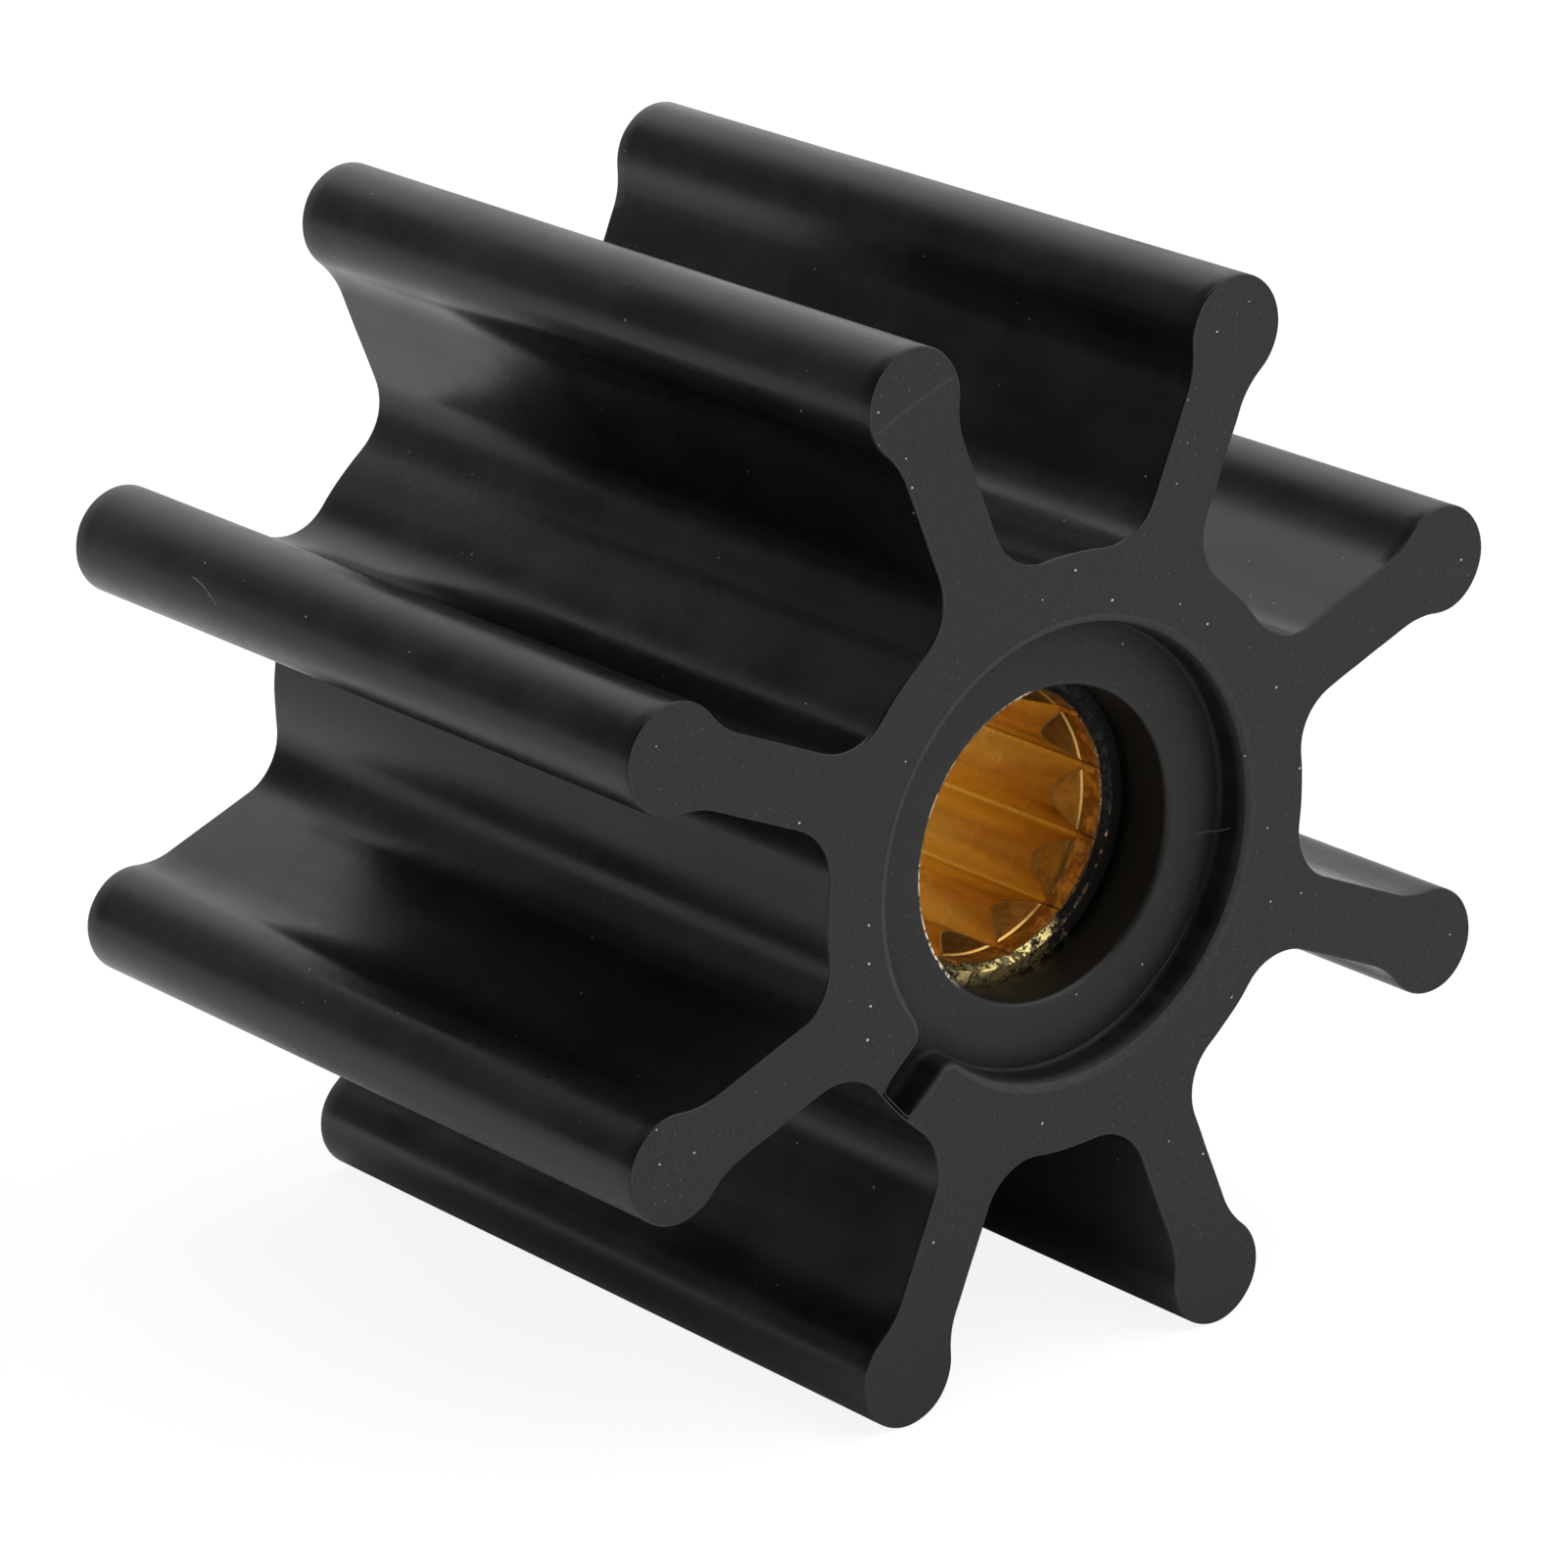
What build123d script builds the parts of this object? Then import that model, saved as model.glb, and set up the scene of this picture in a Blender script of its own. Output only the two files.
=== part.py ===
from build123d import *
import math
import os

# Flexible rubber pump impeller: a moulded rubber body with straight vanes round a hub,
# bonded on a brass insert with a splined hole for the pump shaft.
# Millimetres. The shaft axis is Y, the recessed front face looks to -Y, and +Z is up.
# The origin is on the shaft axis at mid length. The part stands on two vane tips.

# Rubber body, the same section from end to end
length = 49.5
tip_diameter = 65.0
hub_diameter = 34.0
vane_count = 8
vane_thickness = 4.3
bulb_diameter = 6.25
bulb_blend_radius = 5.0
root_fillet_radius = 3.4

# Seal recess in the front face, with its slot out to the hub's edge
recess_diameter = 25.3
recess_depth = 2.1
recess_lip_radius = 0.8
slot_width = 2.5
slot_angle = 223.0
slot_corner_radius = 1.3
slot_web = 0.35

# Shaft passage through the rubber, past both ends of the insert
passage_diameter = 17.8
passage_edge_radius = 0.15

# Brass insert
insert_diameter = 22.0
insert_front_setback = 6.0
insert_back_setback = 3.0
mouth_chamfer = 0.45
lead_in_diameter = 15.6
lead_in_depth = 1.95
lead_in_cone_length = 1.8
spline_count = 12
spline_angle = 10.5
spline_major_diameter = 15.8
spline_minor_diameter = 13.8
groove_bottom_width = 0.2
groove_top_width = 2.7

# Places that follow from the sizes
front = -length / 2
back = length / 2
tip_radius = tip_diameter / 2
hub_radius = hub_diameter / 2
half_vane = vane_thickness / 2
bulb_radius = bulb_diameter / 2
bulb_centre = tip_radius - bulb_radius
recess_radius = recess_diameter / 2
passage_radius = passage_diameter / 2
insert_radius = insert_diameter / 2
insert_front = front + insert_front_setback
insert_back = back - insert_back_setback
lead_in_radius = lead_in_diameter / 2
major_radius = spline_major_diameter / 2
minor_radius = spline_minor_diameter / 2
slot_reach = hub_radius - slot_web
vane_pitch = 360 / vane_count
spline_pitch = 360 / spline_count

# How close two places have to be to count as the same
near = 0.01


def turned(point, degrees):
    """A point of the end view, turned about the shaft axis."""
    angle = math.radians(degrees)
    x = point[0] * math.cos(angle) - point[1] * math.sin(angle)
    z = point[0] * math.sin(angle) + point[1] * math.cos(angle)
    return (x, z)


def towards(start, end, distance):
    """The point that lies a distance from start on the way to end."""
    whole = math.dist(start, end)
    x = start[0] + (end[0] - start[0]) * distance / whole
    z = start[1] + (end[1] - start[1]) * distance / whole
    return (x, z)


def arc(centre, start, end):
    """The shorter arc about centre from start to end."""
    radius = math.dist(centre, start)
    middle = ((start[0] + end[0]) / 2, (start[1] + end[1]) / 2)
    return ThreePointArc(start, towards(centre, middle, radius), end)


def mirrored(point):
    """The same point on the other side of a vane's centre line."""
    return (point[0], -point[1])


def vane_edges(degrees):
    """One vane's outline and the hub arc that leads to the next vane."""
    fillet_height = half_vane + root_fillet_radius
    fillet_x = math.sqrt((hub_radius + root_fillet_radius) ** 2 - fillet_height**2)
    fillet_centre = (fillet_x, fillet_height)
    root = towards((0, 0), fillet_centre, hub_radius)
    neck_start = (fillet_x, half_vane)

    blend_height = half_vane + bulb_blend_radius
    blend_reach = math.sqrt((bulb_radius + bulb_blend_radius) ** 2 - blend_height**2)
    blend_centre = (bulb_centre - blend_reach, blend_height)
    neck_end = (blend_centre[0], half_vane)
    bulb_start = towards((bulb_centre, 0), blend_centre, bulb_radius)
    tip = (tip_radius, 0)

    def place(point):
        return turned(point, degrees)

    next_root = turned(mirrored(root), degrees + vane_pitch)
    return [
        arc(place(mirrored(fillet_centre)), place(mirrored(root)), place(mirrored(neck_start))),
        Line(place(mirrored(neck_start)), place(mirrored(neck_end))),
        arc(place(mirrored(blend_centre)), place(mirrored(neck_end)), place(mirrored(bulb_start))),
        ThreePointArc(place(mirrored(bulb_start)), place(tip), place(bulb_start)),
        arc(place(blend_centre), place(bulb_start), place(neck_end)),
        Line(place(neck_end), place(neck_start)),
        arc(place(fillet_centre), place(neck_start), place(root)),
        arc((0, 0), place(root), next_root),
    ]


def end_view(edges, position):
    """A face across the shaft axis, bounded by edges drawn in X and Z."""
    plane = Plane(origin=(0, position, 0), x_dir=(1, 0, 0), z_dir=(0, -1, 0))
    return plane * make_face(edges)


def along_shaft(radius, start, end):
    """A cylinder about the shaft axis from start to end."""
    plane = Plane(origin=(0, end, 0), x_dir=(1, 0, 0), z_dir=(0, -1, 0))
    return extrude(plane * Circle(radius), end - start)


def ring_edges(solid, radius, position):
    """The round edges of a solid about the shaft axis at one place along it."""
    found = []
    for edge in solid.edges().filter_by(GeomType.CIRCLE):
        centre = edge.arc_center
        on_axis = math.hypot(centre.X, centre.Z) < near
        if on_axis and abs(centre.Y - position) < near and abs(edge.radius - radius) < near:
            found.append(edge)
    return found


def body_outline():
    """The whole end view of the rubber body, with a vane each side of straight down."""
    edges = []
    for index in range(vane_count):
        edges += vane_edges((index + 0.5) * vane_pitch)
    return edges


def recess_tool():
    """The shape of the seal recess and its slot, as deep as the recess."""
    slot = Pos(slot_reach / 2, 0) * Rectangle(slot_reach, slot_width)
    outline = Circle(recess_radius) + Rot(0, 0, slot_angle) * slot
    corners = [v for v in outline.vertices() if math.hypot(v.X, v.Y) < recess_radius + near]
    outline = fillet(corners, slot_corner_radius)
    plane = Plane(origin=(0, front + recess_depth, 0), x_dir=(1, 0, 0), z_dir=(0, -1, 0))
    return extrude(plane * outline, recess_depth)


def recess_rim(body):
    """The recess's edges in the front face, without the web that ends the slot."""
    rim = []
    for edge in body.edges().filter_by_position(Axis.Y, front - near, front + near):
        middle = edge @ 0.5
        if math.hypot(middle.X, middle.Z) < slot_reach - near:
            rim.append(edge)
    return rim


def rubber_body():
    """The moulded body: vanes and hub, with the recess, the slot and the insert's seat."""
    body = extrude(end_view(body_outline(), back), length)
    body -= recess_tool()
    body = fillet(recess_rim(body), recess_lip_radius)
    body -= along_shaft(passage_radius, front, back)
    body -= along_shaft(insert_radius, insert_front, insert_back)
    edges = ring_edges(body, passage_radius, front + recess_depth)
    edges += ring_edges(body, passage_radius, back)
    return fillet(edges, passage_edge_radius)


def spline_edges():
    """The toothed outline of the splined hole."""
    edges = []
    top_half = groove_top_width / 2
    bottom_half = groove_bottom_width / 2
    top = (math.sqrt(minor_radius**2 - top_half**2), top_half)
    bottom = (math.sqrt(major_radius**2 - bottom_half**2), bottom_half)
    for index in range(spline_count):
        angle = spline_angle + index * spline_pitch
        groove = [turned(p, angle) for p in (mirrored(top), mirrored(bottom), bottom, top)]
        next_top = turned(mirrored(top), angle + spline_pitch)
        edges.append(Line(groove[0], groove[1]))
        edges.append(arc((0, 0), groove[1], groove[2]))
        edges.append(Line(groove[2], groove[3]))
        edges.append(arc((0, 0), groove[3], next_top))
    return edges


def mouth_tool():
    """What is turned out of each end of the insert, as one revolved section."""
    mouth_radius = lead_in_radius + mouth_chamfer
    cone_end = lead_in_depth + lead_in_cone_length
    section = make_face(
        Polyline(
            (0, 0),
            (mouth_radius, 0),
            (lead_in_radius, mouth_chamfer),
            (lead_in_radius, lead_in_depth),
            (minor_radius, cone_end),
            (0, cone_end),
            close=True,
        )
    )
    return revolve(section, Axis.Y)


def splined_insert():
    """The brass bush with its toothed hole, open at both ends."""
    insert = along_shaft(insert_radius, insert_front, insert_back)
    insert -= extrude(end_view(spline_edges(), insert_back), insert_back - insert_front)
    insert -= Pos(0, insert_front, 0) * mouth_tool()
    insert -= Pos(0, insert_back, 0) * Rot(180, 0, 0) * mouth_tool()
    return insert


def main():
    os.makedirs("parts", exist_ok=True)
    export_step(rubber_body(), "parts/rubber_body.step")
    export_step(splined_insert(), "parts/splined_insert.step")


main()
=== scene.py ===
import math

import bpy
import bmesh
import numpy as np
from mathutils import Matrix, Vector, noise
from mathutils.geometry import delaunay_2d_cdt

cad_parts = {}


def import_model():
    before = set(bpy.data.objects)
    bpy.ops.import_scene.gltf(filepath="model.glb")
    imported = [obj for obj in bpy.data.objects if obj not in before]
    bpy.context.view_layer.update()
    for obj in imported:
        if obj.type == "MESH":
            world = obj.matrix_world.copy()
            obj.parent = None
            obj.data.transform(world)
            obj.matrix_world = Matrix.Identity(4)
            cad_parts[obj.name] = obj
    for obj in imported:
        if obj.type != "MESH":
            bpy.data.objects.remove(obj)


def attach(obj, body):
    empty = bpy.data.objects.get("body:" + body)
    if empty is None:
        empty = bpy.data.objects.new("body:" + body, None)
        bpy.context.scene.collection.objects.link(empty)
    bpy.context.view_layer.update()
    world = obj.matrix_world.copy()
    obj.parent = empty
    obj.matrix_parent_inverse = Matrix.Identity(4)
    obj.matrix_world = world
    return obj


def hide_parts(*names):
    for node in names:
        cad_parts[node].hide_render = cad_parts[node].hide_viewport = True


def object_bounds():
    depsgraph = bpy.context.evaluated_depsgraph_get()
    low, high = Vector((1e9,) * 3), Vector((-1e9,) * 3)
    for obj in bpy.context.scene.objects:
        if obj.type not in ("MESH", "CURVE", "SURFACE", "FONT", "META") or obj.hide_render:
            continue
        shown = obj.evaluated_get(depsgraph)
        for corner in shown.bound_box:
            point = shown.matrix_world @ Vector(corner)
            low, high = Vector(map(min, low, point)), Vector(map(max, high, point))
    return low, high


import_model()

cad_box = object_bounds()

# Rubber pump impeller. The shaft axis is Y, the recessed front face looks to -Y, +Z is up.
# Sizes are in millimetres, and meshes are turned to metres as they are made.
MM = 0.001

# Rubber body. The rows of points along its sides start and end ROWS_SETBACK inside its ends
LENGTH = 49.5
TIP_RADIUS = 32.5
HUB_RADIUS = 17.0
VANE_COUNT = 8
HALF_VANE = 2.15
BULB_RADIUS = 3.125
BLEND_RADIUS = 5.0
ROOT_FILLET = 3.4
EDGE_ROUNDING = 0.13
EDGE_STEPS = 4
SIDE_ROWS = 40
ROWS_SETBACK = 1.0

# Seal recess and its slot
RECESS_RADIUS = 12.65
RECESS_DEPTH = 2.1
HALF_SLOT = 1.25
SLOT_ANGLE = 223.0
SLOT_CORNER = 1.3
SLOT_END_CORNER = 0.25
SLOT_WEB = 0.35
SLOT_REACH = HUB_RADIUS - SLOT_WEB

# The lip is wide round the recess, narrower along the slot and fine at the slot's end. Of
# its steps down, the first FLAT_LIP_STEPS are part of the end face and the others, up to the
# count that follows, are painted paler: a painted highlight on the lip where it turns down
LIP_RADIUS = 0.8
SLOT_LIP_RADIUS = 0.35
SLOT_END_LIP = 0.1
LIP_FADE_START = 11.6
LIP_FADE_END = 13.3
END_LIP_FADE_START = SLOT_REACH - 0.7
END_LIP_FADE_END = SLOT_REACH - 0.2
LIP_STEPS = 12
FLAT_LIP_STEPS = 1
PAINTED_LIT_LIP_STEPS = 6

# Flash round the recess floor
FLASH_WIDTH = 0.09
FLASH_HEIGHT = 0.02
FLASH_STEPS = 4

# Shaft passage, which widens a little towards the insert. The rounding of its edge changes
# round the circle and is largest at PASSAGE_EDGE_ANGLE
PASSAGE_RADIUS = 8.86
PASSAGE_END_RADIUS = 9.0
PASSAGE_EDGE = 0.32
PASSAGE_EDGE_CHANGE = 0.2
PASSAGE_EDGE_ANGLE = -30.0
PASSAGE_EDGE_STEPS = 8
CIRCLE_POINTS = 192

# Brass insert
INSERT_RADIUS = 11.0
FRONT_SETBACK = 6.0
BACK_SETBACK = 3.0
MOUTH_CHAMFER = 0.45
LEAD_IN_RADIUS = 7.8
LEAD_IN_DEPTH = 1.95
LEAD_IN_STEP = 0.12
CONE_LENGTH = 1.8
SPLINE_COUNT = 12
SPLINE_ANGLE = 10.5
MAJOR_RADIUS = 7.9
MINOR_RADIUS = 6.9
HALF_GROOVE_BOTTOM = 0.1
HALF_GROOVE_TOP = 1.35

# Fine form of the insert's hole. Its rows of points are close together down to MOUTH_REACH
MOUTH_FLARE = 0.05
MOUTH_FLARE_DEPTH = 0.02
STEP_SLOPE = 0.1
GROOVE_ROUNDING = 0.04
TOOTH_ROUNDING = 0.3
TOOTH_TRIM = 0.05
TOOTH_END_ROUNDING = 0.02
SHARP_TURN = 24
MOUTH_REACH = 4.3
HOLE_POINTS = 600
HOLE_ROWS = 14

# Fine marks of moulding. The witness line is palest on the vane at WITNESS_ANGLE
FACE_SINK = 0.03
WITNESS_RADIUS = 29.46
WITNESS_WIDTH = 0.11
WITNESS_HEIGHT = 0.026
WITNESS_MARGIN = 0.45
WITNESS_ANGLE = 112.5
WAVE_DEPTH = 0.03
MARK_HALF_WIDTH = 0.07

# A fibre of lint, sunk so deep that it stays inside the vane's true radius
FIBRE_HALF_WIDTH = 0.06
FIBRE_SINK = 0.044

# The narrow band that rims each flat area
FLAT_MARGIN = 0.12

# Places that follow from the sizes
FRONT = -LENGTH / 2
BACK = LENGTH / 2
VANE_PITCH = 360 / VANE_COUNT
BULB_CENTRE = TIP_RADIUS - BULB_RADIUS
INSERT_FRONT = FRONT + FRONT_SETBACK
INSERT_BACK = BACK - BACK_SETBACK
INSERT_MIDDLE = (INSERT_FRONT + INSERT_BACK) / 2
HALF_INSERT = (INSERT_BACK - INSERT_FRONT) / 2

# The camera, placed in millimetres. It looks straight at the studio's white backdrop
CAMERA_LENS = 171.53
CAMERA_PLACE = (-251.89, -306.31, 134.09)
CAMERA_RIGHT = (0.7722, -0.6354, 0.0013)
BACKDROP = (0.6011, 0.7298, -0.3258)

# The floor: half its width in metres, and its gap to the part in millimetres. Most of its
# white is its own glow to the camera, so that the part's shadow stays light. In gloss it is
# brightest to one side
HALF_FLOOR = 2.0
FLOOR_GAP = 0.02
FLOOR_GLOW = 0.885
LIT_SHARE = 0.22
BRIGHT_SIDE = (0.77, -0.64, 0.0)

# Tones of the brass insert, from pale to brown, with a painted reflection on the lead-in and a
# painted highlight on the cut edges, and of the rubber film on its end, which over the chamfer
# stands for a dark reflection
GROOVE_BRASS = ((0.98, 0.74, 0.29), (0.90, 0.65, 0.24))
TOOTH_BRASS = (0.71, 0.45, 0.16)
CUT_BRASS = ((1.0, 0.60, 0.17), (0.66, 0.36, 0.10))
EDGE_HIGHLIGHT_BRASS = (1.0, 0.74, 0.32)
LEAD_IN_REFLECTION_BRASS = ((0.90, 0.60, 0.27), (0.40, 0.23, 0.09))
STEP_BRASS = (0.76, 0.44, 0.12)
END_BRASS = ((0.52, 0.33, 0.19), (0.57, 0.445, 0.185))
PIT = (0.10, 0.08, 0.04)
FILM_AND_PAINTED_DARK = (0.013, 0.0125, 0.0115)

# Where the insert's looks change: depths of its lead-in and of the step at the lead-in's end,
# and radii of the film's inner edge, where its painted dark on the chamfer ends, and of the broken
# line trimmed out of the film. Each change takes place softly between a pair of these
LEAD_IN_STRETCH = (MOUTH_CHAMFER, 0.6), (1.8, 1.9)
STEP_STRETCH = (1.8, 1.84), (1.98, 2.04)
FILM_START = (7.85, 7.89)
TRIMMED_STRETCH = (8.16, 8.2), (8.27, 8.31)

# Radii between which painted shade darkens the recess floor, and at which the passage's edge
# is dark and pale, partly painted shade
PAINTED_FLOOR_SHADE = (11.2, 12.6)
RIM_SHADE = (PASSAGE_RADIUS, 9.3)

# The way from the shaft axis to the middle of the passage edge's sharp near side, where a broken
# glint line is painted, and the way to the part of the recess floor's edge where the flash has its
# painted highlight
GLINT_SIDE = (-0.956, 0.0, 0.292)
FLASH_HIGHLIGHT_SIDE = (0.3, 0.0, -0.954)

# Zones of the rubber body, in the order of its material slots
FACE, SIDE, PASSAGE, WALL, LIP, RIM, FLOOR, FLASH = 0, 1, 2, 3, 4, 5, 6, 7


# Shapes in the end view

# Takes a point to the other side of a vane's centre line
MIRROR = np.array([1.0, -1.0])


def swept(centre, radius, start, end, steps):
    """Points on an arc, and the directions from its centre; angles in degrees."""
    angles = np.radians(np.linspace(start, end, steps + 1))
    away = np.stack([np.cos(angles), np.sin(angles)], axis=1)
    return np.array(centre) + radius * away, away


def straight(start, end, normal, steps):
    """Points on a straight line, all with one normal."""
    share = np.linspace(0, 1, steps + 1)[:, None]
    points = np.array(start) * (1 - share) + np.array(end) * share
    return points, np.tile(np.array(normal, float), (steps + 1, 1))


def joined(stretches):
    """Stretches that meet end to end, as one list of points and one of normals."""
    points = np.concatenate([p[:-1] for p, n in stretches] + [stretches[-1][0][-1:]])
    normals = np.concatenate([n[:-1] for p, n in stretches] + [stretches[-1][1][-1:]])
    return points, normals


def mirrored_loop(points, normals):
    """A half outline and its mirror image across the first axis, as a closed loop."""
    points = np.concatenate([points, points[-2:0:-1] * MIRROR])
    normals = np.concatenate([normals, normals[-2:0:-1] * MIRROR])
    return points, normals


def turned(pairs, degrees):
    """Points or directions of the end view, turned about the shaft axis."""
    angle = math.radians(degrees)
    matrix = np.array([[math.cos(angle), math.sin(angle)], [-math.sin(angle), math.cos(angle)]])
    return pairs @ matrix


def half_vane():
    """The outline from a vane's tip to the middle of the next pocket, with outward normals."""
    fillet_v = HALF_VANE + ROOT_FILLET
    fillet_u = math.sqrt((HUB_RADIUS + ROOT_FILLET) ** 2 - fillet_v**2)
    blend_v = HALF_VANE + BLEND_RADIUS
    blend_reach = math.sqrt((BULB_RADIUS + BLEND_RADIUS) ** 2 - blend_v**2)
    blend_u = BULB_CENTRE - blend_reach
    bulb_end = math.degrees(math.atan2(blend_v, -blend_reach))
    root = math.degrees(math.atan2(fillet_v, fillet_u))

    bulb = swept((BULB_CENTRE, 0), BULB_RADIUS, 0, bulb_end, steps=22)
    blend, to_blend = swept((blend_u, blend_v), BLEND_RADIUS, bulb_end - 180, -90, steps=9)
    neck = straight((blend_u, HALF_VANE), (fillet_u, HALF_VANE), (0, 1), steps=8)
    fillet, to_fillet = swept((fillet_u, fillet_v), ROOT_FILLET, -90, root - 180, steps=12)
    hub = swept((0, 0), HUB_RADIUS, root, VANE_PITCH / 2, steps=5)
    return joined([bulb, (blend, -to_blend), neck, (fillet, -to_fillet), hub])


def body_outline():
    """The closed end view of the rubber body, with outward normals."""
    points, normals = half_vane()
    vane_points = np.concatenate([points[:0:-1] * MIRROR, points[:-1]])
    vane_normals = np.concatenate([normals[:0:-1] * MIRROR, normals[:-1]])
    all_points = []
    all_normals = []
    for index in range(VANE_COUNT):
        angle = (index + 0.5) * VANE_PITCH
        all_points.append(turned(vane_points, angle))
        all_normals.append(turned(vane_normals, angle))
    return np.concatenate(all_points), np.concatenate(all_normals)


def recess_outline():
    """The recess and its slot: points, normals into the rubber, and the lip's radius at each."""
    corner_v = HALF_SLOT + SLOT_CORNER
    corner_u = math.sqrt((RECESS_RADIUS + SLOT_CORNER) ** 2 - corner_v**2)
    meet = math.degrees(math.atan2(corner_v, corner_u))
    end_u = SLOT_REACH - SLOT_END_CORNER
    end_v = HALF_SLOT - SLOT_END_CORNER

    end = straight((SLOT_REACH, 0), (SLOT_REACH, end_v), (1, 0), steps=4)
    end_corner = swept((end_u, end_v), SLOT_END_CORNER, 0, 90, steps=4)
    side = straight((end_u, HALF_SLOT), (corner_u, HALF_SLOT), (0, 1), steps=12)
    corner, to_corner = swept((corner_u, corner_v), SLOT_CORNER, -90, meet - 180, steps=14)
    circle = swept((0, 0), RECESS_RADIUS, meet, 180, steps=110)
    points, normals = joined([end, end_corner, side, (corner, -to_corner), circle])
    points, normals = mirrored_loop(points, normals)

    places = (LIP_FADE_START, LIP_FADE_END, END_LIP_FADE_START, END_LIP_FADE_END)
    radii = (LIP_RADIUS, SLOT_LIP_RADIUS, SLOT_LIP_RADIUS, SLOT_END_LIP)
    lip = np.interp(points[:, 0], places, radii)
    return turned(points, SLOT_ANGLE), turned(normals, SLOT_ANGLE), lip


def circle_outline(radius):
    """A circle about the shaft axis: points, and the directions from the axis."""
    points, away = swept((0, 0), radius, 0, 360, steps=CIRCLE_POINTS)
    return points[:-1], away[:-1]


# Meshes

class Shell:
    """A mesh in the making, in millimetres, with a zone for each face."""

    def __init__(self):
        self.vertices = []
        self.faces = []
        self.zones = []

    def ring(self, points, depth):
        """Adds a closed ring of end view points at one place along Y, or one for each."""
        start = len(self.vertices)
        depths = np.broadcast_to(depth, len(points))
        for point, y in zip(points, depths):
            self.vertices.append((float(point[0]), float(y), float(point[1])))
        return list(range(start, len(self.vertices)))

    def bridge(self, first, second, zone):
        """Joins two rings of as many points with a band of four-sided faces."""
        count = len(first)
        for i in range(count):
            j = (i + 1) % count
            self.faces.append((first[i], first[j], second[j], second[i]))
            self.zones.append(zone)

    def band(self, rings, zone):
        """Joins each ring to the next."""
        for first, second in zip(rings, rings[1:]):
            self.bridge(first, second, zone)

    def margin(self, ring, inward, zone):
        """Widens a flat area's rim by a narrow band, so that its shading stays even inside;
        inward is +1 for the outer rim of the area and -1 for the rim of its hole."""
        points = np.array([(self.vertices[i][0], self.vertices[i][2]) for i in ring])
        after = np.roll(points, -1, axis=0)
        tangents = after - np.roll(points, 1, axis=0)
        normals = np.stack([-tangents[:, 1], tangents[:, 0]], axis=1)
        normals /= np.linalg.norm(normals, axis=1)[:, None]
        area = np.sum(points[:, 0] * after[:, 1] - points[:, 1] * after[:, 0])
        side = inward * FLAT_MARGIN * (1 if area > 0 else -1)
        added = self.ring(points + normals * side, self.vertices[ring[0]][1])
        self.bridge(ring, added, zone)
        return added

    def fill(self, outer, hole, zone_at, extra=()):
        """Fills the flat area between an outer ring and a hole with triangles. zone_at gives
        the zone at an end view point, and extra holds open lines of points that they keep to."""
        outer = self.margin(outer, 1, zone_at((0, 0)))
        hole = self.margin(hole, -1, zone_at((0, 0)))
        used = outer + hole
        coords = [Vector((self.vertices[i][0], self.vertices[i][2])) for i in used]
        edges = closed_edges(0, len(outer)) + closed_edges(len(outer), len(hole))
        level = self.vertices[outer[0]][1]
        for line in extra:
            start = len(coords)
            coords += [Vector(point) for point in line]
            edges += [(i, i + 1) for i in range(start, len(coords) - 1)]
        inside_only = 1
        closeness = 1e-6
        filled = delaunay_2d_cdt(coords, edges, [], inside_only, closeness)
        found, faces, origin = filled[0], filled[2], filled[3]
        index = []
        for place, sources in zip(found, origin):
            if sources and sources[0] < len(used):
                index.append(used[sources[0]])
            else:
                index.append(len(self.vertices))
                self.vertices.append((place.x, level, place.y))
        rim = np.array([coords[i] for i in range(len(outer), len(used))])
        middles = np.array([np.mean([found[i] for i in face], axis=0) for face in faces])
        for face, middle, inside in zip(faces, middles, within(middles, rim)):
            if not inside:
                self.faces.append(tuple(index[i] for i in face))
                self.zones.append(zone_at(middle))

    def finish(self, name, materials, sharp_from=None):
        """Makes the object, with its normals outward and smooth shading, apart from edges
        that turn by sharp_from degrees or more."""
        mesh = bpy.data.meshes.new(name)
        scaled = [tuple(value * MM for value in vertex) for vertex in self.vertices]
        mesh.from_pydata(scaled, [], self.faces)
        for material in materials:
            mesh.materials.append(material)
        mesh.polygons.foreach_set("material_index", self.zones)
        mesh.polygons.foreach_set("use_smooth", [True] * len(self.faces))
        work = bmesh.new()
        work.from_mesh(mesh)
        bmesh.ops.recalc_face_normals(work, faces=work.faces)
        if sharp_from:
            for edge in work.edges:
                edge.smooth = edge.calc_face_angle(0.0) < math.radians(sharp_from)
        work.to_mesh(mesh)
        work.free()
        piece = bpy.data.objects.new(name, mesh)
        bpy.context.scene.collection.objects.link(piece)
        weighted = piece.modifiers.new("weighted normals", "WEIGHTED_NORMAL")
        weighted.mode = "FACE_AREA_WITH_ANGLE"
        weighted.keep_sharp = True
        return piece


def closed_edges(start, count):
    """The edges of a closed ring of numbered points."""
    return [(start + i, start + (i + 1) % count) for i in range(count)]


def within(points, polygon):
    """Which points lie inside a polygon."""
    inside = np.zeros(len(points), bool)
    after = np.roll(polygon, -1, axis=0)
    for (x0, z0), (x1, z1) in zip(polygon, after):
        crosses = (z0 > points[:, 1]) != (z1 > points[:, 1])
        rise = z1 - z0 if z1 != z0 else 1.0
        inside ^= crosses & (points[:, 0] < (x1 - x0) * (points[:, 1] - z0) / rise + x0)
    return inside


def quarter(steps):
    """Pairs of sine and cosine through a quarter turn."""
    return [(math.sin(a), math.cos(a)) for a in np.linspace(0, math.pi / 2, steps + 1)]


# The rubber body

def wave(x, y, z):
    """How far the moulded surface lies inside its true place, in millimetres."""
    slow = noise.noise(Vector((x / 9, y / 14, z / 9)))
    fine = noise.noise(Vector((x / 2.5 + 7, y / 6, z / 2.5)))
    return WAVE_DEPTH * (0.5 + 0.4 * slow + 0.1 * fine)


def edge_rounding(points):
    """The small radius of the end edges, which varies along the outline."""
    radii = []
    for x, z in points:
        radii.append(EDGE_ROUNDING * (1 + 0.45 * noise.noise(Vector((x / 1.7, z / 1.7, 3.3)))))
    return np.array(radii)


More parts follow.
